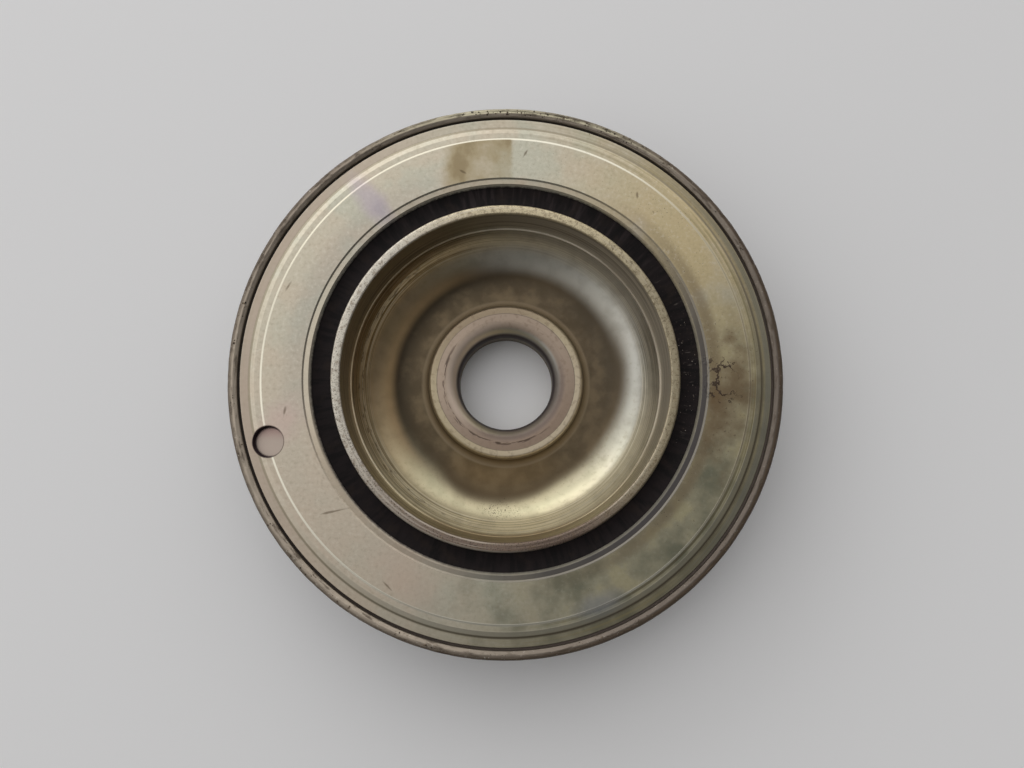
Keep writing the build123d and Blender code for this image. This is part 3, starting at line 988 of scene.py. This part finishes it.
def crumb_tree(name, thickness):
    """Surface in, crumbs out. thickness gives 0 to 1 from the tree and a place in millimetres."""
    g, given = start_tree(name, "Surface", (("Density", "Float"), ("Smallest", "Float"),
                                            ("Largest", "Float"), ("Flatness", "Float"), ("Seed", "Int")))

    def drawn(low, high, seed):
        """A number drawn for each point."""
        limits = {"Min": low, "Max": high, "Seed": seed}
        return g.node("FunctionNodeRandomValue", {"data_type": "FLOAT"}, limits)

    place = g.scaled(g.node("GeometryNodeInputPosition"), 1 / mm)
    up = g.parts(g.node("GeometryNodeInputNormal", out="Normal"))[2]
    points = g.node("GeometryNodeDistributePointsOnFaces", {"distribute_method": "RANDOM"}, {
        "Mesh": given, "Selection": up.math("GREATER_THAN", 0.3), "Seed": given.beside("Seed"),
        "Density": given.beside("Density")})
    kept = g.node("GeometryNodeDeleteGeometry", {"domain": "POINT"}, {
        "Geometry": points, "Selection": drawn(0.0, 1.0, 1).math("GREATER_THAN", thickness(g, place))})

    grain = g.node("GeometryNodeMeshIcoSphere", inputs={"Radius": 0.5, "Subdivisions": 1}, out="Mesh")
    lumps = g.noise(g.node("GeometryNodeInputPosition"), 2.3, 1.0) - 0.5
    outward = g.scaled(g.node("GeometryNodeInputNormal", out="Normal"), lumps)
    grain = g.node("GeometryNodeSetPosition", inputs={"Geometry": grain, "Offset": outward})

    size = drawn(0.0, 1.0, given.beside("Seed"))
    size = size * size * (given.beside("Largest") - given.beside("Smallest")) + given.beside("Smallest")
    stretch = drawn(0.6, 1.6, 5)
    crumbs = g.node("GeometryNodeInstanceOnPoints", inputs={
        "Points": kept, "Instance": grain, "Rotation": points.beside("Rotation"),
        "Scale": g.point(size * stretch, size, size * given.beside("Flatness"))})
    crumbs = g.node("GeometryNodeRotateInstances", inputs={
        "Instances": crumbs, "Rotation": g.point(0.0, 0.0, drawn(0.0, 2 * pi, 9))})
    return end_tree(g, crumbs, given)


def scatter(name, tree, surface, **inputs):
    """Scatters crumbs over a piece and gives them as a piece of their own."""
    seat = stand(name + "_seat", surface.data)
    sower = seat.modifiers.new("sower", "NODES")
    sower.node_group = tree
    set_inputs(sower, {label.capitalize(): value for label, value in inputs.items()})
    piece = plain_copy(name, seat)
    print(name, len(piece.data.polygons) // grain_faces, "crumbs")
    return piece


print("each crumb has", grain_faces, "faces")

# %% Where crumbs lie
def round_axis(g, place):
    """A place's three numbers and its distance from the axis."""
    x, y, z = g.parts(place)
    return x, y, z, (x * x + y * y) ** 0.5


def on_the_lip(g, place):
    """Patches of grime along the lip, thickest at the far side."""
    x, y, z, radius = round_axis(g, place)
    patches = g.noise((x * 0.12, y * 0.12, 8.0), 1.0, 3.0).smooth(0.50, 0.64)
    far = (x / radius * cos(radians(78)) + y / radius * sin(radians(78))).smooth(0.90, 1.0)
    lip_top = radius.smooth(77.6, 78.0) * radius.smooth(79.6, 79.3) * z.smooth(28.6, 28.9)
    return lip_top * (patches + far * 1.5)


def on_the_crust(g, place):
    """Along the veins of the crust on the face."""
    x, y, z, radius = round_axis(g, place)
    along, across = (y - crust_y) / 9.0, (x - crust_x) / 4.5
    heart = ((along * along + across * across) ** 0.5).smooth(1.2, 0.4)
    face = radius.smooth(58.8, 59.2) * radius.smooth(70.0, 69.6) * z.smooth(29.5, 29.8)
    return heart * face * (heart * vein_width - crust_crack(g, x, y, z)).smooth(0.0, vein_soft)


def on_the_rubber(g, place):
    """Thinly on the right of the rubber's face."""
    x, _, z, radius = round_axis(g, place)
    face = radius.smooth(50.8, 51.2) * radius.smooth(55.6, 55.2) * z.smooth(27.0, 27.5)
    return face * (x / radius).smooth(0.90, 1.0) * 0.4


print("crumbs lie in three places")

# %% Grime and dust
grime = Finish("grime", (70, 56, 44), 0.1, 0.8)
grime.lay(grime.torn.smooth(0.45, 0.60), (46, 36, 30))
grime.lay(grime.noise(grime.place, 1.4, 2.0).smooth(0.52, 0.62), (120, 104, 84), rough=0.7)
grime_finish = grime.done()
dust = Finish("dust", (150, 140, 130), 0.0, 0.9)
dust.lay(dust.noise(dust.place, 0.9, 2.0).smooth(0.44, 0.58), (70, 60, 52))
dust_finish = dust.done()

# %% Scatter the crumbs
lip_grime = scatter("lip_grime", crumb_tree("grime_on_the_lip", on_the_lip), inertia_ring, density=1.6e6,
                    smallest=0.10 * mm, largest=0.55 * mm, flatness=0.5, seed=4, finish=grime_finish)
face_crust = scatter("face_crust", crumb_tree("crust_on_the_face", on_the_crust), inertia_ring, density=9e6,
                     smallest=0.12 * mm, largest=0.50 * mm, flatness=0.16, seed=6, finish=grime_finish)
rubber_dust = scatter("rubber_dust", crumb_tree("dust_on_the_rubber", on_the_rubber), rubber, density=1.2e6,
                      smallest=0.08 * mm, largest=0.34 * mm, flatness=0.6, seed=2, finish=dust_finish)

# %% [markdown]
# ## Hand over
#
# Each turned piece replaces the frame's piece it was made for, which is hidden, and the crumbs
# ride along with them on the root.

# %% Hand over
for piece, node in ((hub, "hub"), (rubber, "rubber_ring"), (inertia_ring, "inertia_ring")):
    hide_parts(node)
for piece, slot in ((hub, "hub_steel"), (rubber, "damper_rubber"), (inertia_ring, "ring_iron"),
                    (lip_grime, "ring_iron"), (face_crust, "ring_iron"), (rubber_dust, "damper_rubber")):
    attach(piece, "root")
